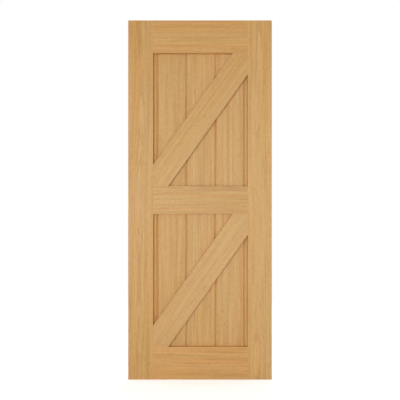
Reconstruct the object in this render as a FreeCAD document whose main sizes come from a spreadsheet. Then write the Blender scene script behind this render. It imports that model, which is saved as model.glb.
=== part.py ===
import FreeCAD, Part
import math
import os
import re

import Sketcher
from FreeCAD import Vector

# A framed, ledged and braced door leaf in oak.
# x runs from the hanging edge to the lock edge and z runs up from the bottom of the leaf.
# y runs from the braced face to the boarded face, with 0 at the middle of the thickness.

# Driving dimensions in millimetres: name, value and what it measures.
SIZES = [
    ("leaf_width", 813, "width of the leaf over both stiles"),
    ("leaf_height", 2032, "height of the leaf"),
    ("leaf_thickness", 44, "thickness of the stiles and the top rail"),
    ("hanging_stile_width", 141, "face width of the hanging stile"),
    ("lock_stile_width", 136.5, "face width of the lock stile"),
    ("top_rail_depth", 185, "face depth of the top rail"),
    ("middle_rail_depth", 157, "face depth of the middle rail"),
    ("middle_rail_height", 1016, "height of the middle rail's centre line"),
    ("bottom_rail_depth", 185, "face depth of the bottom rail"),
    ("brace_width", 140, "face width of each brace"),
    ("board_thickness", 20, "thickness of the boards"),
    ("hanging_strip", 22.5, "cover of the edge board beside the hanging stile"),
    ("lock_strip", 17, "cover of the edge board beside the lock stile"),
    ("vee_width", 7.5, "width of the chamfer on each board edge at a vee joint"),
    ("vee_depth", 4.5, "depth of the chamfer on each board edge at a vee joint"),
    ("frame_vee_depth", 3, "chamfer of the boarded face where it meets the frame"),
    ("tongue_thickness", 5, "thickness of the board tongues"),
    ("tongue_length", 9, "reach of the board tongues past the board edge"),
    ("joint_gap", 0.8, "gap left between boards so that they can swell"),
    ("tenon_thickness", 14, "thickness of the rail tenons"),
    ("tenon_length", 90, "reach of the rail tenons into the stiles"),
    ("tenon_shoulder", 30, "shoulder above and below each tenon"),
    ("haunch_length", 12, "reach of the haunch beside an end tenon"),
    ("fit_gap", 0.2, "clearance at the cheeks of tongues and tenons"),
    ("tip_gap", 1, "clearance past the tips of tongues and tenons"),
    ("arris_radius", 1.5, "rounding of the long outer arrises of the stiles"),
]

# Places and sizes that follow from the driving dimensions.
BRACED_FACE = "(-leaf_thickness / 2)"
BOARDED_FACE = "(leaf_thickness / 2)"
BOARD_REAR = f"({BOARDED_FACE} - board_thickness)"
BOARD_MIDDLE = f"({BOARDED_FACE} - board_thickness / 2)"
OPENING = "(leaf_width - hanging_stile_width - lock_stile_width)"
TOP_RAIL_FOOT = "(leaf_height - top_rail_depth)"
MIDDLE_RAIL_FOOT = "(middle_rail_height - middle_rail_depth / 2)"
MIDDLE_RAIL_HEAD = "(middle_rail_height + middle_rail_depth / 2)"
HALF_TONGUE = "(tongue_thickness / 2)"
HALF_GROOVE = f"({HALF_TONGUE} + fit_gap)"
FRAME_GROOVE_DEPTH = "(tongue_length + tip_gap)"
BOARD_GROOVE_DEPTH = f"({FRAME_GROOVE_DEPTH} - joint_gap)"
FULL_BOARDS = 3
BOARD_COVER = f"(({OPENING} - hanging_strip - lock_strip) / {FULL_BOARDS})"
FIRST_JOINT = "(hanging_stile_width + hanging_strip)"
BOARD_SHOULDER = f"({TOP_RAIL_FOOT} - fit_gap)"
BOARD_TOP = f"({BOARD_SHOULDER} + tongue_length)"

doc = FreeCAD.newDocument("framed_ledged_braced_door")
sheet = doc.addObject("Spreadsheet::Sheet", "Sizes")
for row, (alias, value, meaning) in enumerate(SIZES, 1):
    sheet.set(f"A{row}", meaning)
    sheet.set(f"B{row}", str(value))
    sheet.setAlias(f"B{row}", alias)
doc.recompute()
ALIASES = {alias for alias, value, meaning in SIZES}


def sheet_terms(formula):
    """A formula in size names, written with the sheet's cells."""
    def cell(word):
        name = word.group()
        return f"Sizes.{name}" if name in ALIASES else name
    return re.sub(r"[a-z_]+", cell, formula)


def amount(formula):
    """The present value of a formula in size names."""
    return float(sheet.evalExpression(sheet_terms(formula)))


def bind(item, prop, formula):
    """Tie a property to the sheet."""
    item.setExpression(prop, sheet_terms(formula))


def new_piece(label, place):
    """An empty body whose Placement follows three formulas."""
    body = doc.addObject("PartDesign::Body", label)
    body.Label = label
    for axis, formula in zip("xyz", place):
        bind(body, f"Placement.Base.{axis}", formula)
    return body


def rectangle(left, right, low, high):
    """Corners of a rectangle as pairs of formulas."""
    return [(left, low), (right, low), (right, high), (left, high)]


def draw(body, role, offset, loops):
    """A sketch of closed outlines, on one of the body's origin planes moved along its normal."""
    sketch = body.newObject("Sketcher::SketchObject", f"{body.Label}_outline")
    plane = next(item for item in body.Origin.OriginFeatures if item.Role == role)
    sketch.AttachmentSupport = (plane, [""])
    sketch.MapMode = "FlatFace"
    bind(sketch, "AttachmentOffset.Base.z", offset)
    for corners in loops:
        start = sketch.GeometryCount
        count = len(corners)
        spots = [Vector(amount(across), amount(up), 0) for across, up in corners]
        for index in range(count):
            sketch.addGeometry(Part.LineSegment(spots[index], spots[(index + 1) % count]))
        for index, (corner, spot) in enumerate(zip(corners, spots)):
            line = start + index
            following = start + (index + 1) % count
            sketch.addConstraint(Sketcher.Constraint("Coincident", line, 2, following, 1))
            across = sketch.addConstraint(Sketcher.Constraint("DistanceX", -1, 1, line, 1, spot.x))
            bind(sketch, f"Constraints[{across}]", corner[0])
            up = sketch.addConstraint(Sketcher.Constraint("DistanceY", -1, 1, line, 1, spot.y))
            bind(sketch, f"Constraints[{up}]", corner[1])
    return sketch


def raise_solid(body, sketch, length):
    """Pad an outline along its plane's normal."""
    pad = body.newObject("PartDesign::Pad", f"{body.Label}_pad")
    pad.Profile = sketch
    bind(pad, "Length", length)


def cut(body, sketch, length, along_normal):
    """Cut an outline out of the solid, along its plane's normal or against it."""
    pocket = body.newObject("PartDesign::Pocket", f"{body.Label}_cut")
    pocket.Profile = sketch
    pocket.Reversed = along_normal
    bind(pocket, "Length", length)
    return pocket


# The three rails: depth, foot, rear face, front and rear cheek of the tenon, and the haunched end.
CENTRED_TENON = ("(-tenon_thickness / 2)", "(tenon_thickness / 2)")
BAREFACED_TENON = (f"({BOARD_REAR} - tenon_thickness)", BOARD_REAR)
RAILS = {
    "top_rail": ("top_rail_depth", TOP_RAIL_FOOT, BOARDED_FACE, CENTRED_TENON, "head"),
    "middle_rail": ("middle_rail_depth", MIDDLE_RAIL_FOOT, BOARD_REAR, BAREFACED_TENON, None),
    "bottom_rail": ("bottom_rail_depth", "0", BOARD_REAR, BAREFACED_TENON, "foot"),
}
TENON_FOOT = "tenon_shoulder"


def tenon_head(depth):
    """Height of a tenon's upper edge above the foot of its rail."""
    return f"({depth} - tenon_shoulder)"


def haunch_span(depth, end):
    """Lower and upper edge of a haunch above the foot of its rail."""
    return (tenon_head(depth), depth) if end == "head" else ("0", TENON_FOOT)


def make_rail(label):
    """A rail between the stiles, with a tenon at both ends and a haunch on the outer rails."""
    depth, foot, rear, (cheek_front, cheek_rear), haunched_end = RAILS[label]
    body = new_piece(label, ("hanging_stile_width", "0", foot))
    bar = draw(body, "YZ_Plane", "0", [rectangle(BRACED_FACE, rear, "0", depth)])
    raise_solid(body, bar, OPENING)
    tenons = [("tenon_length", TENON_FOOT, tenon_head(depth))]
    if haunched_end:
        tenons.append(("haunch_length", *haunch_span(depth, haunched_end)))
    for reach, low, high in tenons:
        outline = draw(body, "YZ_Plane", f"-{reach}", [rectangle(cheek_front, cheek_rear, low, high)])
        raise_solid(body, outline, f"{OPENING} + 2 * {reach}")
    return body


def groove_sides():
    """Front and rear side of the grooves that hold the board tongues."""
    return f"{BOARD_MIDDLE} - {HALF_GROOVE}", f"{BOARD_MIDDLE} + {HALF_GROOVE}"


def make_top_rail():
    """The top rail, grooved along its lower edge for the tops of the boards."""
    body = make_rail("top_rail")
    groove = draw(body, "YZ_Plane", "0", [rectangle(*groove_sides(), "0", FRAME_GROOVE_DEPTH)])
    cut(body, groove, OPENING, along_normal=True)
    return body


def round_arrises(body, base):
    """Round the two long arrises of a stile's outer edge."""
    doc.recompute()
    height = amount("leaf_height")
    outer = []
    for number, edge in enumerate(base.Shape.Edges, 1):
        box = edge.BoundBox
        if math.isclose(box.ZLength, height) and math.isclose(box.Center.x, 0, abs_tol=edge.Tolerance):
            outer.append(f"Edge{number}")
    fillet = body.newObject("PartDesign::Fillet", f"{body.Label}_arrises")
    fillet.Base = (base, outer)
    bind(fillet, "Radius", "arris_radius")


def make_stile(label, place, inward, width):
    """A stile with its outer edge on its own origin, reaching its width inward along +1 or -1 in x."""
    body = new_piece(label, (place, "0", "0"))
    inner_edge = f"{inward} * {width}"
    section = draw(body, "XY_Plane", "0", [rectangle("0", inner_edge, BRACED_FACE, BOARDED_FACE)])
    raise_solid(body, section, "leaf_height")

    groove_floor = f"{inward} * ({width} - {FRAME_GROOVE_DEPTH})"
    groove = draw(body, "XY_Plane", "0", [rectangle(groove_floor, inner_edge, *groove_sides())])
    cut(body, groove, f"{TOP_RAIL_FOOT} + {FRAME_GROOVE_DEPTH}", along_normal=True)

    mortises = []
    haunch_sockets = []
    for depth, foot, rear, (cheek_front, cheek_rear), haunched_end in RAILS.values():
        cheeks = (f"{cheek_front} - fit_gap", f"{cheek_rear} + fit_gap")
        low = f"{foot} + {TENON_FOOT} - fit_gap"
        high = f"{foot} + {tenon_head(depth)} + fit_gap"
        mortises.append(rectangle(*cheeks, low, high))
        if haunched_end:
            low, high = haunch_span(depth, haunched_end)
            haunch_sockets.append(rectangle(*cheeks, f"{foot} + {low}", f"{foot} + {high}"))
    for loops, reach in ((mortises, "tenon_length"), (haunch_sockets, "haunch_length")):
        sockets = draw(body, "YZ_Plane", inner_edge, loops)
        last = cut(body, sockets, f"{reach} + tip_gap", along_normal=inward < 0)
    round_arrises(body, last)
    return body


def make_brace(label, foot, head):
    """A brace along the diagonal of a panel, its ends cut to fill the panel's corners."""
    body = new_piece(label, ("hanging_stile_width", "0", foot))
    rise = f"({head} - {foot})"
    diagonal = f"sqrt({OPENING}^2 + {rise}^2)"
    along_rail = f"(brace_width / 2 * {diagonal} / {rise})"
    along_stile = f"(brace_width / 2 * {diagonal} / {OPENING})"
    outline = [
        ("0", "0"),
        (along_rail, "0"),
        (OPENING, f"{rise} - {along_stile}"),
        (OPENING, rise),
        (f"{OPENING} - {along_rail}", rise),
        ("0", along_stile),
    ]
    # The plane's normal points to the braced face.
    face = draw(body, "XZ_Plane", f"-{BOARD_REAR}", [outline])
    raise_solid(body, face, "leaf_thickness - board_thickness")
    return body


def board_edge(joint, outward, kind):
    """Corners of one board edge, from the braced side to the boarded face."""
    at_frame = kind == "frame"
    gap = "fit_gap" if at_frame else "joint_gap / 2"
    if at_frame:
        vee_across = vee_down = "frame_vee_depth"
    else:
        vee_across, vee_down = "vee_width", "vee_depth"
    edge = f"({joint} - {outward} * {gap})"
    if kind == "groove":
        reach = f"({edge} - {outward} * {BOARD_GROOVE_DEPTH})"
        half = HALF_GROOVE
    else:
        reach = f"({edge} + {outward} * tongue_length)"
        half = HALF_TONGUE
    rear_corner = [(edge, BOARD_REAR)]
    if not at_frame:
        rear_corner = [
            (f"{edge} - {outward} * {vee_across}", BOARD_REAR),
            (edge, f"{BOARD_REAR} + {vee_down}"),
        ]
    return rear_corner + [
        (edge, f"{BOARD_MIDDLE} - {half}"),
        (reach, f"{BOARD_MIDDLE} - {half}"),
        (reach, f"{BOARD_MIDDLE} + {half}"),
        (edge, f"{BOARD_MIDDLE} + {half}"),
        (edge, f"{BOARDED_FACE} - {vee_down}"),
        (f"{edge} - {outward} * {vee_across}", BOARDED_FACE),
    ]


def make_board(label, place, width, left_kind, right_kind):
    """A vee-jointed board from the bottom of the leaf up into the groove of the top rail."""
    body = new_piece(label, (place, "0", "0"))
    left_edge = board_edge("0", -1, left_kind)
    right_edge = board_edge(width, 1, right_kind)
    section = draw(body, "XY_Plane", "0", [right_edge + left_edge[::-1]])
    raise_solid(body, section, BOARD_TOP)

    tongue_rear = f"{BOARD_MIDDLE} - {HALF_TONGUE}"
    tongue_face = f"{BOARD_MIDDLE} + {HALF_TONGUE}"
    behind_tongue = rectangle(BOARD_REAR, tongue_rear, BOARD_SHOULDER, BOARD_TOP)
    before_tongue = [
        (tongue_face, BOARD_SHOULDER),
        (f"{BOARDED_FACE} - frame_vee_depth", BOARD_SHOULDER),
        (BOARDED_FACE, f"{BOARD_SHOULDER} - frame_vee_depth"),
        (BOARDED_FACE, BOARD_TOP),
        (tongue_face, BOARD_TOP),
    ]
    top_end = draw(body, "YZ_Plane", "-tongue_length", [behind_tongue, before_tongue])
    cut(body, top_end, f"{width} + 2 * tongue_length", along_normal=True)
    return body


def make_boards():
    """Full boards of one cover between the narrow edge boards that fit against the stiles."""
    boards = [make_board("hanging_edge_board", "hanging_stile_width", "hanging_strip", "frame", "tongue")]
    for index in range(FULL_BOARDS):
        place = f"{FIRST_JOINT} + {index} * {BOARD_COVER}"
        boards.append(make_board(f"board_{index + 1}", place, BOARD_COVER, "groove", "tongue"))
    last_joint = f"{FIRST_JOINT} + {FULL_BOARDS} * {BOARD_COVER}"
    boards.append(make_board("lock_edge_board", last_joint, "lock_strip", "groove", "frame"))
    return boards


pieces = [
    make_stile("hanging_stile", "0", 1, "hanging_stile_width"),
    make_stile("lock_stile", "leaf_width", -1, "lock_stile_width"),
    make_top_rail(),
    make_rail("middle_rail"),
    make_rail("bottom_rail"),
    make_brace("upper_brace", MIDDLE_RAIL_HEAD, TOP_RAIL_FOOT),
    make_brace("lower_brace", "bottom_rail_depth", MIDDLE_RAIL_FOOT),
    *make_boards(),
]
doc.recompute()

for item in doc.Objects:
    if "Invalid" in item.State or "Error" in item.State:
        raise RuntimeError(f"{item.Label} failed: {item.State}")
    if item.TypeId == "PartDesign::Pocket" and item.Shape.Volume >= item.BaseFeature.Shape.Volume:
        raise RuntimeError(f"{item.Label} cuts nothing")
for piece in pieces:
    shape = piece.Shape
    if shape.isNull() or not shape.isValid() or len(shape.Solids) != 1:
        raise RuntimeError(f"{piece.Label} is not one valid solid")

os.makedirs("parts", exist_ok=True)
for piece in pieces:
    piece.Shape.exportStep(f"parts/{piece.Label}.step")
    print(piece.Label, round(piece.Shape.Volume), "mm3")
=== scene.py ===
import math

import bmesh
import bpy
from mathutils import Euler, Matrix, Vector


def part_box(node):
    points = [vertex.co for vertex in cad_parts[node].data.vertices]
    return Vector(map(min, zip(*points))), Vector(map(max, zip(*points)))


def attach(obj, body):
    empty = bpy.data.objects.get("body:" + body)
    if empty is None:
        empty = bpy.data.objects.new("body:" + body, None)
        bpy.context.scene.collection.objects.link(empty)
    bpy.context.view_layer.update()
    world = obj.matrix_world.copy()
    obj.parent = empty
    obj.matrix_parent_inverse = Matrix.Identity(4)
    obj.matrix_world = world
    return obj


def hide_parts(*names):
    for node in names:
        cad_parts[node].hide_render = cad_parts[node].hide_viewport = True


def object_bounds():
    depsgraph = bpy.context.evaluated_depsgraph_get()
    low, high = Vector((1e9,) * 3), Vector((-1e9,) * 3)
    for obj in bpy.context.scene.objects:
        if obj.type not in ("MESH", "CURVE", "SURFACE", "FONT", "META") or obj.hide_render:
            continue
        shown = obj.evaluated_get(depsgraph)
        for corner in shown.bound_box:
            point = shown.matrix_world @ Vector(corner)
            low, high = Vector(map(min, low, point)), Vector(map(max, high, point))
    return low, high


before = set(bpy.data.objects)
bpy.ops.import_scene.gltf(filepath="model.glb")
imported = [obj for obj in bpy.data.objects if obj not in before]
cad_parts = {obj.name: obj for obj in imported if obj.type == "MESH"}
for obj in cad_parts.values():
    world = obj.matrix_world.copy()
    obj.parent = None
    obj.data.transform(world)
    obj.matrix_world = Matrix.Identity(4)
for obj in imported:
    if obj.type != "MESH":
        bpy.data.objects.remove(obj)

# A framed, ledged and braced door leaf in light oak, in metres.
# x runs from the hanging edge to the lock edge, y from the braced face to the boarded face, z up.
MM = 0.001
WHITE = (1, 1, 1, 1)
cad_low, cad_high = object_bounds()
leaf_middle = (cad_low + cad_high) / 2
BRACED_FACE = cad_low.y
BOARDED_FACE = cad_high.y

# Each board with the kind of its left and right edge.
BOARDS = {
    "hanging_edge_board": ("frame", "tongue"),
    "board_1": ("groove", "tongue"),
    "board_2": ("groove", "tongue"),
    "board_3": ("groove", "tongue"),
    "lock_edge_board": ("groove", "frame"),
}
STILES = ("hanging_stile", "lock_stile")
RAILS = ("top_rail", "middle_rail", "bottom_rail")
BRACES = ("upper_brace", "lower_brace")
FRAME_PIECES = STILES + RAILS + BRACES


# Helpers for objects and node trees

def new_object(name, data):
    """A new object in the scene."""
    thing = bpy.data.objects.new(name, data)
    bpy.context.scene.collection.objects.link(thing)
    return thing


def empty_nodes(owner):
    """The cleared node tree of a material or a world."""
    owner.use_nodes = True
    owner.node_tree.nodes.clear()
    return owner.node_tree


def add_sockets(tree, side, kind, *names):
    """New sockets of one kind on the input or output side of a node group."""
    for name in names:
        tree.interface.new_socket(name, in_out=side, socket_type=f"NodeSocket{kind}")


def feed(tree, socket, value):
    """Join a socket to another node's output, or set it to a plain value."""
    if isinstance(value, bpy.types.NodeSocket):
        tree.links.new(value, socket)
    else:
        socket.default_value = value


def add(tree, kind, inputs=None, **settings):
    """A new node with its settings and its inputs, which are named or numbered."""
    node = tree.nodes.new(kind)
    for name, value in settings.items():
        setattr(node, name, value)
    for socket, value in (inputs or {}).items():
        feed(tree, node.inputs[socket], value)
    return node


def maths(tree, operation, *values, clamp=False):
    """A Math node's result."""
    node = add(tree, "ShaderNodeMath", dict(enumerate(values)), operation=operation, use_clamp=clamp)
    return node.outputs[0]


def vector(tree, operation, *values):
    """A Vector Math node's vector result."""
    node = add(tree, "ShaderNodeVectorMath", dict(enumerate(values)), operation=operation)
    return node.outputs["Vector"]


def measure(tree, operation, *values):
    """A Vector Math node's single number."""
    node = add(tree, "ShaderNodeVectorMath", dict(enumerate(values)), operation=operation)
    return node.outputs["Value"]


def total(tree, start, shares):
    """A number with parts added to it, each times its share."""
    result = start
    for part, share in shares:
        result = maths(tree, "MULTIPLY_ADD", part, share, result)
    return result


def smooth_step(tree, value, low, high, ceiling=1.0):
    """A smooth step of value from 0 at low to ceiling at high."""
    inputs = {"Value": value, "From Min": low, "From Max": high, "To Min": 0.0, "To Max": ceiling}
    node = add(tree, "ShaderNodeMapRange", inputs, interpolation_type="SMOOTHSTEP")
    return node.outputs["Result"]


def tint(tree, mode, amount, base, other):
    """A colour Mix node's result."""
    node = add(tree, "ShaderNodeMix", data_type="RGBA", blend_type=mode)
    colours = [socket for socket in node.inputs if socket.type == "RGBA"]
    feed(tree, node.inputs["Factor"], amount)
    feed(tree, colours[0], base)
    feed(tree, colours[1], other)
    return next(socket for socket in node.outputs if socket.type == "RGBA")


def grain_noise(tree, place, across, along, detail=1.0):
    """Noise whose patches are about across wide and along long, along the grain."""
    stretched = vector(tree, "MULTIPLY", place, (1 / across, 1 / across, 1 / along))
    inputs = {"Vector": stretched, "Scale": 1.0, "Detail": detail}
    return add(tree, "ShaderNodeTexNoise", inputs)


# The oak

LATE_WOOD = (0.652, 0.383, 0.146)
EARLY_WOOD = (0.522, 0.280, 0.089)

# Tints that multiply the wood's colour.
DEEP = (1.015, 0.972, 0.86, 1)
PALE = (0.985, 1.018, 1.09, 1)
YELLOWISH = (0.985, 1.018, 0.97, 1)
PINKISH = (1.015, 0.978, 1.01, 1)
FLECK = (0.84, 0.74, 0.62, 1)
PORE = (0.62, 0.52, 0.42, 1)
RAY = (1.10, 1.12, 1.16, 1)
END_GRAIN = (0.74, 0.66, 0.58, 1)

# Sizes of the oak's figure, across the grain and along it.
TRUNK_BEND = (160 * MM, 700 * MM)
RIPPLE = (20 * MM, 260 * MM)
FLAME = (6 * MM, 60 * MM)
FINE_STREAK = (1.6 * MM, 220 * MM)
STREAK = (14 * MM, 380 * MM)
BAND = (40 * MM, 1300 * MM)
NARROW_BAND = (13 * MM, 420 * MM)
MOTTLE = (9 * MM, 30 * MM)
FLECK_SIZE = (4 * MM, 42 * MM)
PORE_SIZE = (0.45 * MM, 13 * MM)
STREAK_DETAIL = 2.0

# How far ripples and flames push the rings aside.
RIPPLE_REACH = 2.0 * MM
FLAME_REACH = 1.2 * MM

# How often good and poor seasons follow each other, and by how many rings they shift the count.
SEASON_PACE = 0.37
SEASON_SWING = 3.0

# Stretches of a ring, from 0 to 1, in which late wood takes over and the next year begins.
LATE_WOOD_COMES = (0.05, 0.75)
YEAR_TURNS = (0.93, 1.0)

# The middle of the tone, and the shares of the ring, the year and the fine streaks in it.
TONE_MIDDLE = 0.42
RING_SHARE = 0.30
YEAR_SHARE = 0.30
FINE_SHARE = 0.50

# Levels of noise: its middle, those at which a band has its two hues in full, and those at which
# flecks, rays and pores begin to show and show in full.
NOISE_MIDDLE = 0.5
BAND_LOW = 0.32
BAND_HIGH = 0.68
FLECK_SHOWS = (0.64, 0.78)
RAY_SHOWS = (0.66, 0.76)
PORE_SHOWS = (0.60, 0.70)

# Rays, counted around the pith, outwards from it and along the log, and their strength.
RAYS_AROUND = 95.0
RAYS_OUTWARDS = 55.0
RAYS_ALONG = 70.0
RAY_STRENGTH = 0.8

# Strength of the pores in late wood, and what early wood adds to it.
LATE_PORES = 0.15
EARLY_PORES = 0.8

# The thin satin oil: its specular level, its roughness and what the figure adds to that.
SHEEN = 0.42
ROUGHNESS = 0.40
STREAK_ROUGHNESS = 0.14
PORE_ROUGHNESS = 0.25
RAY_ROUGHNESS = -0.08

# Heights of the figure on the planed face.
STREAK_RELIEF = 0.05 * MM
EARLY_RELIEF = -0.03 * MM
PORE_RELIEF = -0.10 * MM
RELIEF_STRENGTH = 0.6

# How squarely a face crosses the grain, from 0 to 1, where end grain begins and is full.
END_GRAIN_SHOWS = (0.75, 0.95)

# What each piece says of its own figure: the width of its rings, how far its trunk wanders, and the
# strength of its streaks, mottle and bands.
FIGURE_INPUTS = ("ring_width", "wander", "streaks", "mottle", "bands")


def noise_shift(tree, place, size):
    """A shift to all sides by noise of a size."""
    noise = grain_noise(tree, place, *size).outputs["Color"]
    return vector(tree, "SUBTRACT", noise, (NOISE_MIDDLE, NOISE_MIDDLE, NOISE_MIDDLE))


def bent_trunk(tree, place, wander):
    """A place in a trunk that bends slowly and whose rings are never quite round."""
    bend = vector(tree, "SCALE", noise_shift(tree, place, TRUNK_BEND))
    feed(tree, bend.node.inputs["Scale"], wander)
    trunk = vector(tree, "ADD", place, bend)
    for size, reach in ((RIPPLE, RIPPLE_REACH), (FLAME, FLAME_REACH)):
        sway = vector(tree, "MULTIPLY", noise_shift(tree, place, size), (reach, reach, 0))
        trunk = vector(tree, "ADD", trunk, sway)
    return trunk


def yearly_rings(tree, radius, ring_width):
    """The amount of early wood, which comes first in each uneven ring, and a level for its year."""
    years = maths(tree, "DIVIDE", radius, ring_width)
    inputs = {"W": years, "Scale": SEASON_PACE, "Detail": 1.0}
    season = add(tree, "ShaderNodeTexNoise", inputs, noise_dimensions="1D")
    years = maths(tree, "MULTIPLY_ADD", season.outputs[0], SEASON_SWING, years)
    through = maths(tree, "FRACT", years)
    late = smooth_step(tree, through, *LATE_WOOD_COMES)
    turn = smooth_step(tree, through, *YEAR_TURNS)
    early = maths(tree, "SUBTRACT", 1.0, maths(tree, "SUBTRACT", late, turn), clamp=True)
    number = maths(tree, "FLOOR", years)
    year = add(tree, "ShaderNodeTexWhiteNoise", {"W": number}, noise_dimensions="1D")
    return early, year.outputs["Value"]


def rays(tree, trunk, radius):
    """Rays that stand out from the pith like thin blades."""
    sides = add(tree, "ShaderNodeSeparateXYZ", {0: trunk}).outputs
    around = maths(tree, "ARCTAN2", sides["Y"], sides["X"])
    blade = add(tree, "ShaderNodeCombineXYZ", {
        "X": maths(tree, "MULTIPLY", around, RAYS_AROUND),
        "Y": maths(tree, "MULTIPLY", radius, RAYS_OUTWARDS),
        "Z": maths(tree, "MULTIPLY", sides["Z"], RAYS_ALONG),
    })
    noise = add(tree, "ShaderNodeTexNoise", {"Vector": blade.outputs[0], "Scale": 1.0, "Detail": 0.0})
    return smooth_step(tree, noise.outputs[0], *RAY_SHOWS, ceiling=RAY_STRENGTH)


def pores(tree, trunk, early):
    """Open pores, thickest in the early wood."""
    pore = smooth_step(tree, grain_noise(tree, trunk, *PORE_SIZE, detail=0.0).outputs[0], *PORE_SHOWS)
    strength = maths(tree, "MULTIPLY_ADD", early, EARLY_PORES, LATE_PORES)
    return maths(tree, "MULTIPLY", pore, strength)


def banded(tree, trunk, colour, size, share, low_hue, high_hue):
    """A colour that leans to two hues in turn, in bands of a size."""
    band = grain_noise(tree, trunk, *size).outputs[0]
    for level, hue in ((BAND_LOW, low_hue), (BAND_HIGH, high_hue)):
        amount = smooth_step(tree, band, NOISE_MIDDLE, level, share)
        colour = tint(tree, "MULTIPLY", amount, colour, hue)
    return colour


def oak_figure():
    """The figure of oak around a pith on the z axis, with the grain along z."""
    tree = bpy.data.node_groups.new("oak_figure", "ShaderNodeTree")
    add_sockets(tree, "INPUT", "Vector", "place")
    add_sockets(tree, "INPUT", "Color", "late_wood", "early_wood")
    add_sockets(tree, "INPUT", "Float", *FIGURE_INPUTS)
    add_sockets(tree, "OUTPUT", "Color", "colour")
    add_sockets(tree, "OUTPUT", "Float", "roughness", "relief")
    given = add(tree, "NodeGroupInput").outputs
    trunk = bent_trunk(tree, given["place"], given["wander"])
    radius = measure(tree, "LENGTH", vector(tree, "MULTIPLY", trunk, (1, 1, 0)))
    early, year = yearly_rings(tree, radius, given["ring_width"])
    fine = grain_noise(tree, trunk, *FINE_STREAK, STREAK_DETAIL).outputs[0]

    # The tone swings about its middle with the rings, with fine and broad streaks and a short mottle.
    swings = (
        (early, RING_SHARE),
        (year, YEAR_SHARE),
        (fine, FINE_SHARE),
        (grain_noise(tree, trunk, *STREAK, STREAK_DETAIL).outputs[0], given["streaks"]),
        (grain_noise(tree, trunk, *MOTTLE).outputs[0], given["mottle"]),
    )
    shares = [(maths(tree, "SUBTRACT", part, NOISE_MIDDLE), share) for part, share in swings]
    tone = total(tree, TONE_MIDDLE, shares)
    tone = maths(tree, "MINIMUM", maths(tree, "MAXIMUM", tone, 0.0), 1.0)
    colour = tint(tree, "MIX", tone, given["late_wood"], given["early_wood"])
    colour = banded(tree, trunk, colour, BAND, given["bands"], DEEP, PALE)
    colour = banded(tree, trunk, colour, NARROW_BAND, 1.0, PINKISH, YELLOWISH)

    # Reddish flecks, pale rays and dark pores lie over it.
    fleck = smooth_step(tree, grain_noise(tree, trunk, *FLECK_SIZE).outputs[0], *FLECK_SHOWS)
    ray = rays(tree, trunk, radius)
    pore = pores(tree, trunk, early)
    for amount, hue in ((fleck, FLECK), (ray, RAY), (pore, PORE)):
        colour = tint(tree, "MULTIPLY", amount, colour, hue)
    rough_parts = ((fine, STREAK_ROUGHNESS), (pore, PORE_ROUGHNESS), (ray, RAY_ROUGHNESS))
    raised_parts = ((fine, STREAK_RELIEF), (early, EARLY_RELIEF), (pore, PORE_RELIEF))
    add(tree, "NodeGroupOutput", {
        "colour": colour,
        "roughness": total(tree, ROUGHNESS, rough_parts),
        "relief": total(tree, 0.0, raised_parts),
    })
    return tree


FIGURE = oak_figure()


def shaded(colour, shade):
    """A colour times a shade, with full opacity."""
    return [part * factor for part, factor in zip(colour, shade)] + [1]


def oak(name, centre, direction, pith, shade, **figure):
    """Oak for a piece around a centre, cut from a log of its own."""
    material = bpy.data.materials.new(name)
    tree = empty_nodes(material)
    seen = add(tree, "ShaderNodeTexCoord").outputs
    turn = Euler((0, -direction, 0))
    home = Vector(centre)
    home.rotate(turn)
    across, behind, along = pith
    place = add(tree, "ShaderNodeMapping", {
        "Vector": seen["Object"],
        "Location": Vector((-across, -behind, along)) - home,
        "Rotation": turn,
    }, vector_type="POINT")
    # The shade tints the wood: the piece's own tone, and in part a painted sheen.
    wood = add(tree, "ShaderNodeGroup", {
        "place": place.outputs["Vector"],
        "late_wood": shaded(LATE_WOOD, shade),
        "early_wood": shaded(EARLY_WOOD, shade),
        **figure,
    }, node_tree=FIGURE).outputs

    # Cut ends drink more finish and come out darker.
    grain = (math.sin(direction), 0, math.cos(direction))
    facing = maths(tree, "ABSOLUTE", measure(tree, "DOT_PRODUCT", seen["Normal"], grain))
    end = smooth_step(tree, facing, *END_GRAIN_SHOWS)
    bump = add(tree, "ShaderNodeBump", {
        "Height": wood["relief"],
        "Distance": 1.0,
        "Strength": RELIEF_STRENGTH,
    })
    surface = add(tree, "ShaderNodeBsdfPrincipled", {
        "Base Color": tint(tree, "MULTIPLY", end, wood["colour"], END_GRAIN),
        "Roughness": wood["roughness"],
        "Normal": bump.outputs["Normal"],
        "Specular IOR Level": SHEEN,
    })
    add(tree, "ShaderNodeOutputMaterial", {"Surface": surface.outputs[0]})
    return material


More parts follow.
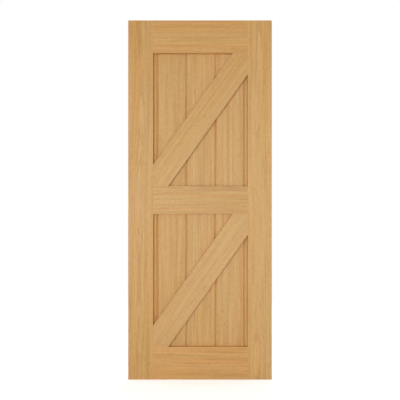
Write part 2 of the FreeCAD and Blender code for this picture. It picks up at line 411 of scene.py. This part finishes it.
# The oak of each piece. The direction of its grain is measured from upright to +x. The pith lies that
# far across the grain and behind the piece's middle, and the third number is the place along the log.
upper_low, upper_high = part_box("upper_brace")
BRACE_ANGLE = math.atan2(upper_high.x - upper_low.x, upper_high.z - upper_low.z)
UPRIGHT = 0.0
LEVEL = math.pi / 2
# Each shade is partly the piece's own tone and partly a painted sheen: paler towards the middle and the
# lock side of the leaf, deeper at the top and bottom rails and on the hanging side.
GRAIN = {
    "hanging_stile": dict(
        direction=UPRIGHT, pith=(-0.006, 0.070, 2.2), shade=(1.00, 0.98, 0.88),
        ring_width=3.4 * MM, wander=0.026, streaks=1.3, mottle=0.60, bands=1.0,
    ),
    "lock_stile": dict(
        direction=UPRIGHT, pith=(-0.008, 0.085, 9.4), shade=(1.03, 1.04, 1.00),
        ring_width=3.2 * MM, wander=0.028, streaks=1.4, mottle=0.60, bands=1.0,
    ),
    "top_rail": dict(
        direction=LEVEL, pith=(0.230, 0.080, 13.3), shade=(1.03, 0.98, 0.87),
        ring_width=3.6 * MM, wander=0.022, streaks=1.8, mottle=0.10, bands=1.0,
    ),
    "middle_rail": dict(
        direction=LEVEL, pith=(-0.080, 0.110, 17.9), shade=(0.97, 0.98, 0.93),
        ring_width=3.0 * MM, wander=0.028, streaks=2.0, mottle=0.10, bands=0.6,
    ),
    "bottom_rail": dict(
        direction=LEVEL, pith=(0.120, 0.075, 22.4), shade=(1.03, 0.97, 0.88),
        ring_width=3.6 * MM, wander=0.024, streaks=2.3, mottle=0.10, bands=0.6,
    ),
    "upper_brace": dict(
        direction=BRACE_ANGLE, pith=(0.190, 0.090, 27.2), shade=(1.00, 1.01, 0.96),
        ring_width=2.8 * MM, wander=0.020, streaks=1.3, mottle=0.20, bands=0.6,
    ),
    "lower_brace": dict(
        direction=BRACE_ANGLE, pith=(-0.180, 0.100, 33.4), shade=(1.02, 1.04, 1.05),
        ring_width=2.9 * MM, wander=0.022, streaks=1.5, mottle=0.20, bands=0.6,
    ),
    # The hanging edge board is deeper and more orange than the other boards, in part a painted shade: the
    # warm brown of the hanging stile's shadow along it.
    "hanging_edge_board": dict(
        direction=UPRIGHT, pith=(0.210, 0.060, 36.5), shade=(1.04, 0.99, 0.87),
        ring_width=2.6 * MM, wander=0.020, streaks=1.6, mottle=0.30, bands=0.6,
    ),
    "board_1": dict(
        direction=UPRIGHT, pith=(-0.190, 0.070, 41.1), shade=(0.99, 1.01, 0.95),
        ring_width=2.7 * MM, wander=0.022, streaks=1.8, mottle=0.30, bands=0.6,
    ),
    "board_2": dict(
        direction=UPRIGHT, pith=(0.110, 0.120, 45.6), shade=(1.01, 1.02, 1.00),
        ring_width=2.9 * MM, wander=0.026, streaks=1.8, mottle=0.30, bands=0.6,
    ),
    "board_3": dict(
        direction=UPRIGHT, pith=(0.170, 0.080, 50.2), shade=(1.02, 1.04, 1.03),
        ring_width=2.7 * MM, wander=0.022, streaks=1.9, mottle=0.30, bands=0.6,
    ),
    "lock_edge_board": dict(
        direction=UPRIGHT, pith=(-0.230, 0.050, 54.9), shade=(1.02, 1.04, 1.03),
        ring_width=2.6 * MM, wander=0.020, streaks=1.6, mottle=0.30, bands=0.6,
    ),
}


def oak_of(node):
    """The oak of one named piece."""
    low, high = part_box(node)
    return oak(f"oak_{node}", (low + high) / 2, **GRAIN[node])


# The boards

# Sizes of the boards' section, the same as in the solids.
VEE_WIDTH = 7.5 * MM
VEE_DEPTH = 4.5 * MM
FRAME_VEE_DEPTH = 3 * MM
TONGUE_THICKNESS = 5 * MM
TONGUE_LENGTH = 9 * MM
GROOVE_DEPTH = 9.2 * MM
GROOVE_CLEARANCE = 0.2 * MM

# Easing of the boards' corners, and the distance within which corners are one.
BOARD_ARRIS = 0.4 * MM
BOARD_ARRIS_STEPS = 3
BOARD_WELD = 0.01 * MM

# Blocks of waste at the boards' heads, longer and thicker than what they cut away.
WASTE_LENGTH = 1.0
WASTE_THICKNESS = 40 * MM
CHAMFER_ANGLE = math.radians(45)


def board_edge(edge, outward, kind):
    """Corners of one board edge, from the braced side to the boarded face."""
    low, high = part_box("board_1")
    middle = (low.y + high.y) / 2
    if kind == "groove":
        reach = edge - outward * GROOVE_DEPTH
        half = TONGUE_THICKNESS / 2 + GROOVE_CLEARANCE
    else:
        reach = edge + outward * TONGUE_LENGTH
        half = TONGUE_THICKNESS / 2
    if kind == "frame":
        vee_across = vee_down = FRAME_VEE_DEPTH
        rear = [(edge, low.y)]
    else:
        vee_across, vee_down = VEE_WIDTH, VEE_DEPTH
        rear = [(edge - outward * vee_across, low.y), (edge, low.y + vee_down)]
    return rear + [
        (edge, middle - half),
        (reach, middle - half),
        (reach, middle + half),
        (edge, middle + half),
        (edge, high.y - vee_down),
        (edge - outward * vee_across, high.y),
    ]


def board_section(node):
    """The closed outline of a board's section, as a wire at the foot of the leaf."""
    low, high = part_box(node)
    left_kind, right_kind = BOARDS[node]
    left = low.x + (0 if left_kind == "groove" else TONGUE_LENGTH)
    right = high.x - (0 if right_kind == "groove" else TONGUE_LENGTH)
    corners = board_edge(right, 1, right_kind) + board_edge(left, -1, left_kind)[::-1]
    count = len(corners)
    spots = [(x, y, low.z) for x, y in corners]
    wire = bpy.data.meshes.new(f"{node}_section")
    wire.from_pydata(spots, [(index, (index + 1) % count) for index in range(count)], [])
    return wire


def board_stick(tree, given):
    """A board's section with eased corners, run up the leaf."""
    outline = add(tree, "GeometryNodeMeshToCurve", {"Mesh": given["Section"]})
    eased = add(tree, "GeometryNodeFilletCurve", {
        "Curve": outline.outputs["Curve"],
        "Count": given["Arris steps"],
        "Radius": given["Arris"],
        "Limit Radius": True,
    }, mode="POLY")
    foot = add(tree, "GeometryNodeFillCurve", {"Curve": eased.outputs["Curve"]}, mode="NGONS")
    stick = add(tree, "GeometryNodeExtrudeMesh", {
        "Mesh": foot.outputs["Mesh"],
        "Offset": (0, 0, 1),
        "Offset Scale": given["Length"],
        "Individual": False,
    }, mode="FACES")
    underside = add(tree, "GeometryNodeFlipFaces", {"Mesh": foot.outputs["Mesh"]})
    joined = add(tree, "GeometryNodeJoinGeometry")
    for part in (stick, underside):
        tree.links.new(part.outputs["Mesh"], joined.inputs["Geometry"])
    whole = add(tree, "GeometryNodeMergeByDistance", {
        "Geometry": joined.outputs["Geometry"],
        "Distance": BOARD_WELD,
    })
    return whole.outputs["Geometry"]


def waste_block(tree, y, z, tilt=0.0):
    """A block of waste across the leaf, around a line at y and z."""
    spot = add(tree, "ShaderNodeCombineXYZ", {"X": leaf_middle.x, "Y": y, "Z": z})
    size = (WASTE_LENGTH, WASTE_THICKNESS, WASTE_THICKNESS)
    block = add(tree, "GeometryNodeMeshCube", {"Size": size})
    moved = add(tree, "GeometryNodeTransform", {
        "Geometry": block.outputs["Mesh"],
        "Translation": spot.outputs[0],
        "Rotation": Euler((tilt, 0, 0)),
    })
    return moved.outputs["Geometry"]


def head_waste(tree, given):
    """Waste on both sides of the tongue at a board's head, and over the chamfer before it."""
    half = WASTE_THICKNESS / 2
    middle = maths(tree, "MULTIPLY", maths(tree, "ADD", given["Rear"], given["Face"]), 0.5)
    away = maths(tree, "MULTIPLY_ADD", given["Tongue thickness"], 0.5, half)
    above = maths(tree, "ADD", given["Shoulder"], half)
    blocks = []
    for side in (-1, 1):
        blocks.append(waste_block(tree, maths(tree, "MULTIPLY_ADD", away, side, middle), above))
    out = maths(tree, "MULTIPLY_ADD", given["Head vee"], -0.5, half * math.cos(CHAMFER_ANGLE))
    past_face = maths(tree, "ADD", given["Face"], out)
    past_shoulder = maths(tree, "ADD", given["Shoulder"], out)
    blocks.append(waste_block(tree, past_face, past_shoulder, CHAMFER_ANGLE))
    return blocks


def board_tree():
    """Runs a board's section up the leaf and cuts the tongue that fits the top rail's groove."""
    tree = bpy.data.node_groups.new("board_from_section", "GeometryNodeTree")
    lengths = ("Length", "Shoulder", "Rear", "Face", "Tongue thickness", "Head vee", "Arris")
    add_sockets(tree, "OUTPUT", "Geometry", "Geometry")
    add_sockets(tree, "INPUT", "Geometry", "Section")
    add_sockets(tree, "INPUT", "Float", *lengths)
    add_sockets(tree, "INPUT", "Int", "Arris steps")
    add_sockets(tree, "INPUT", "Material", "Oak")
    given = add(tree, "NodeGroupInput").outputs
    cut = add(tree, "GeometryNodeMeshBoolean", operation="DIFFERENCE", solver="EXACT")
    tree.links.new(board_stick(tree, given), cut.inputs["Mesh 1"])
    for block in head_waste(tree, given):
        tree.links.new(block, cut.inputs["Mesh 2"])
    real = add(tree, "GeometryNodeRealizeInstances", {"Geometry": cut.outputs["Mesh"]})
    dressed = add(tree, "GeometryNodeSetMaterial", {
        "Geometry": real.outputs["Geometry"],
        "Material": given["Oak"],
    })
    add(tree, "NodeGroupOutput", {"Geometry": dressed.outputs["Geometry"]})
    return tree


BOARD_TREE = board_tree()


def make_board(node):
    """One vee-jointed board, from its section."""
    low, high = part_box(node)
    top_rail_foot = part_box("top_rail")[0].z
    section = board_section(node)
    piece = new_object(f"{node}_oak", section)
    modifier = piece.modifiers.new("board", "NODES")
    modifier.node_group = BOARD_TREE
    wanted = {
        "Length": high.z - low.z,
        "Shoulder": top_rail_foot - GROOVE_CLEARANCE,
        "Rear": low.y,
        "Face": high.y,
        "Tongue thickness": TONGUE_THICKNESS,
        "Head vee": FRAME_VEE_DEPTH,
        "Arris": BOARD_ARRIS,
        "Arris steps": BOARD_ARRIS_STEPS,
        "Oak": oak_of(node),
    }
    for socket in BOARD_TREE.interface.items_tree:
        if socket.name in wanted:
            modifier[socket.identifier] = wanted[socket.name]
    built = piece.evaluated_get(bpy.context.evaluated_depsgraph_get())
    piece.data = bpy.data.meshes.new_from_object(built)
    piece.modifiers.clear()
    bpy.data.meshes.remove(section)
    return piece


# The frame

# Easing of the frame's edges: flush in its joints, beside the panels, and on the boarded face.
FLUSH_ARRIS = 0.2 * MM
PANEL_ARRIS = 0.6 * MM
BACK_ARRIS = 0.5 * MM
ARRIS_STEPS = 3
ARRIS_PROFILE = 0.5

# The distance within which corners are one, the angle up to which a face is flat, and how squarely
# a face looks to the braced side.
FRAME_WELD = 0.001 * MM
FLAT = math.radians(0.5)
SQUARELY = 0.99

# The reach of a touch, how far beside an edge another piece is looked for, and the angle over which
# an edge is sharp.
TOUCH = 0.05 * MM
LOOK_BESIDE = 3 * MM
SHARP = math.radians(40)

# Shorter edges are only facets of the stiles' rounded outer edges.
LEAST_EDGE = 1 * MM

# Decimals of a metre that tell places apart.
DECIMALS = 6


def whole_faces(node):
    """A copy of a solid's mesh with its triangles joined into whole faces."""
    work = bmesh.new()
    work.from_mesh(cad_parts[node].data)
    bmesh.ops.remove_doubles(work, verts=work.verts, dist=FRAME_WELD)
    bmesh.ops.dissolve_limit(work, angle_limit=FLAT, verts=work.verts, edges=work.edges)
    bmesh.ops.recalc_face_normals(work, faces=work.faces)
    return work


def braced_outline(node):
    """Corners of a frame piece's face on the braced side, in order around it."""
    work = whole_faces(node)
    faces = [face for face in work.faces if face.normal.y < -SQUARELY]
    largest = max(faces, key=lambda face: face.calc_area())
    corners = [corner.co.copy() for corner in largest.verts]
    work.free()
    return corners


OUTLINES = {node: braced_outline(node) for node in FRAME_PIECES}


def covers(outline, spot):
    """Whether a spot on the braced face lies within an outline, counted by crossings."""
    inside = False
    for start, end in zip(outline, outline[1:] + outline[:1]):
        if (start.z > spot.z) != (end.z > spot.z):
            share = (spot.z - start.z) / (end.z - start.z)
            if spot.x < start.x + share * (end.x - start.x):
                inside = not inside
    return inside


def on_face(edge, face):
    """Whether an edge lies in a face of the leaf."""
    return all(math.isclose(corner.co.y, face, abs_tol=TOUCH) for corner in edge.verts)


def sharp_edges(work, face):
    """The sharp edges of a frame piece that lie in a face of the leaf."""
    return [
        edge for edge in work.edges
        if edge.calc_face_angle(0) > SHARP and edge.calc_length() > LEAST_EDGE and on_face(edge, face)
    ]


def split_at_neighbours(edge, node):
    """Cut an edge where the faces of other frame pieces begin and end."""
    first = edge.verts[0]
    home = first.co.copy()
    run = edge.verts[1].co - home
    length = run.length
    run.normalize()
    marks = set()
    for other in FRAME_PIECES:
        if other == node:
            continue
        for corner in OUTLINES[other]:
            along = (corner - home).dot(run)
            aside = (corner - home - along * run).length
            if aside < TOUCH and TOUCH < along < length - TOUCH:
                marks.add(round(along, DECIMALS))
    rest = edge
    done = 0.0
    for mark in sorted(marks):
        cut, middle = bmesh.utils.edge_split(rest, first, (mark - done) / (length - done))
        rest = next(other for other in middle.link_edges if other != cut)
        first = middle
        done = mark


def in_joint(edge, node):
    """Whether another frame piece lies flush beside an edge of the braced face."""
    face = min(edge.link_faces, key=lambda face: face.normal.y)
    start, end = (corner.co for corner in edge.verts)
    middle = (start + end) / 2
    aside = (end - start).normalized().cross(face.normal) * LOOK_BESIDE
    spots = (middle + aside, middle - aside)
    others = [OUTLINES[other] for other in FRAME_PIECES if other != node]
    return any(covers(outline, spot) for outline in others for spot in spots)


def ease_edges(work, edges, width):
    """Round some edges over a width. It makes new edges, so the next ones are looked up after it."""
    bmesh.ops.bevel(
        work, geom=edges, offset=width, segments=ARRIS_STEPS, profile=ARRIS_PROFILE,
        affect="EDGES", clamp_overlap=False,
    )


def mesh_in_order(name, work):
    """A mesh whose corners and faces come in the same order each run, which easing alone doesn't give."""
    corners = sorted(work.verts, key=lambda corner: [round(part, DECIMALS) for part in corner.co])
    numbers = {corner: number for number, corner in enumerate(corners)}
    faces = []
    for face in work.faces:
        around = [numbers[corner] for corner in face.verts]
        start = around.index(min(around))
        faces.append(around[start:] + around[:start])
    mesh = bpy.data.meshes.new(name)
    mesh.from_pydata([corner.co for corner in corners], [], sorted(faces))
    return mesh


def make_frame_piece(node):
    """A frame piece with whole faces, its edges eased beside the panels and nearly sharp in joints."""
    work = whole_faces(node)
    for edge in sharp_edges(work, BRACED_FACE):
        split_at_neighbours(edge, node)
    beside_panels = [edge for edge in sharp_edges(work, BRACED_FACE) if not in_joint(edge, node)]
    ease_edges(work, beside_panels, PANEL_ARRIS)
    ease_edges(work, sharp_edges(work, BRACED_FACE), FLUSH_ARRIS)
    ease_edges(work, sharp_edges(work, BOARDED_FACE), BACK_ARRIS)
    mesh = mesh_in_order(f"{node}_oak", work)
    work.free()
    mesh.materials.append(oak_of(node))
    return new_object(f"{node}_oak", mesh)


def settle(piece, node):
    """Put a finished piece in its node's place."""
    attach(piece, "root")
    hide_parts(node)


for nodes, make, slot in (
    (STILES, make_frame_piece, "stile_oak"),
    (RAILS, make_frame_piece, "rail_oak"),
    (BRACES, make_frame_piece, "brace_oak"),
    (BOARDS, make_board, "board_oak"),
):
    for node in nodes:
        settle(make(node), node)


# The studio

# The camera: its distance from the braced face, the photo's width, the size of a pixel on that face,
# and the width of the sensor in millimetres.
CAMERA_DISTANCE = 2.8
PHOTO_PIXELS = 400
PIXEL_AT_FACE = 5.6565 * MM
SENSOR = 36.0

# Light from all sides.
AMBIENT = 0.36

# The floor: half its width, how pale it is in the light it sends back, how pale it looks and how much
# it glows to the eye, and the distances from the leaf over which it turns white.
FLOOR_REACH = 40.0
FLOOR_PALENESS = 0.6
SHADOW_KEPT = 0.9
FLOOR_GLOW = 0.46
SHADOW_FADES = (1.4, 2.4)

# Each softbox: its place from the middle of the leaf, its width and height, and its power in watts.
SOFTBOXES = {
    "front_softbox": ((0.3, -3.0, -0.16), (2.8, 2.8), 42.8),
    "left_softbox": ((-2.2, -5.0, -0.1), (1.6, 1.6), 83.0),
    "rear_softbox": ((0.5, 3.0, 0.3), (2.4, 2.4), 40.0),
    "hanging_side_softbox": ((-3.2, 0.4, 0.2), (1.2, 1.8), 27.0),
    "lock_side_softbox": ((3.2, 0.4, 0.2), (1.2, 1.8), 27.0),
}


def make_camera():
    """Square on to the braced face, at the middle of the leaf."""
    camera = bpy.data.cameras.new("camera")
    camera.sensor_width = SENSOR
    camera.lens = SENSOR * CAMERA_DISTANCE / (PHOTO_PIXELS * PIXEL_AT_FACE)
    stand = new_object("camera", camera)
    stand.location = (leaf_middle.x, BRACED_FACE - CAMERA_DISTANCE, leaf_middle.z)
    stand.rotation_euler = (math.pi / 2, 0, 0)
    bpy.context.scene.camera = stand


def make_softbox(name, place, size, power):
    """A rectangular lamp that faces the middle of the leaf."""
    lamp = bpy.data.lights.new(name, "AREA")
    lamp.shape = "RECTANGLE"
    lamp.size, lamp.size_y = size
    lamp.energy = power
    stand = new_object(name, lamp)
    stand.location = leaf_middle + Vector(place)
    aim = leaf_middle - stand.location
    stand.rotation_euler = aim.to_track_quat("-Z", "Y").to_euler()


def seen_directly(tree):
    """1 for rays from the camera and in reflections, 0 for the light that falls on surfaces."""
    path = add(tree, "ShaderNodeLightPath").outputs
    seen = maths(tree, "MAXIMUM", path["Is Camera Ray"], path["Is Glossy Ray"])
    return maths(tree, "MAXIMUM", seen, path["Is Transmission Ray"])


def blend(tree, amount, first, second):
    """A Mix Shader node of two shaders."""
    return add(tree, "ShaderNodeMixShader", {0: amount, 1: first.outputs[0], 2: second.outputs[0]})


def make_backdrop():
    """White to the eye, and a weak even light on the leaf."""
    world = bpy.data.worlds.new("studio")
    tree = empty_nodes(world)
    dim = add(tree, "ShaderNodeBackground", {"Color": WHITE, "Strength": AMBIENT})
    white = add(tree, "ShaderNodeBackground", {"Color": WHITE, "Strength": 1.0})
    both = blend(tree, seen_directly(tree), dim, white)
    add(tree, "ShaderNodeOutputWorld", {"Surface": both.outputs[0]})
    bpy.context.scene.world = world


def grey(level):
    """A neutral colour."""
    return (level, level, level, 1)


def pale_floor():
    """To the eye a floor that keeps the leaf's shadow and is white farther away."""
    material = bpy.data.materials.new("pale_floor")
    tree = empty_nodes(material)
    matt = add(tree, "ShaderNodeBsdfDiffuse", {"Color": grey(FLOOR_PALENESS)})
    shade = add(tree, "ShaderNodeBsdfDiffuse", {"Color": grey(SHADOW_KEPT)})
    glow = add(tree, "ShaderNodeEmission", {"Color": WHITE, "Strength": FLOOR_GLOW})
    near = add(tree, "ShaderNodeAddShader", {0: shade.outputs[0], 1: glow.outputs[0]})
    white = add(tree, "ShaderNodeEmission", {"Color": WHITE, "Strength": 1.0})
    foot = (leaf_middle.x, leaf_middle.y, cad_low.z)
    away = measure(tree, "DISTANCE", add(tree, "ShaderNodeTexCoord").outputs["Object"], foot)
    bright = blend(tree, smooth_step(tree, away, *SHADOW_FADES), near, white)
    both = blend(tree, seen_directly(tree), matt, bright)
    add(tree, "ShaderNodeOutputMaterial", {"Surface": both.outputs[0]})
    return material


def make_floor():
    """A wide floor under the leaf."""
    corners = [(-1, -1), (1, -1), (1, 1), (-1, 1)]
    spots = [(leaf_middle.x + x * FLOOR_REACH, y * FLOOR_REACH, cad_low.z) for x, y in corners]
    mesh = bpy.data.meshes.new("floor")
    mesh.from_pydata(spots, [], [(0, 1, 2, 3)])
    mesh.materials.append(pale_floor())
    new_object("floor", mesh)


make_camera()
make_backdrop()
make_floor()
for name, (place, size, power) in SOFTBOXES.items():
    make_softbox(name, place, size, power)
bpy.context.scene.view_settings.view_transform = "Standard"
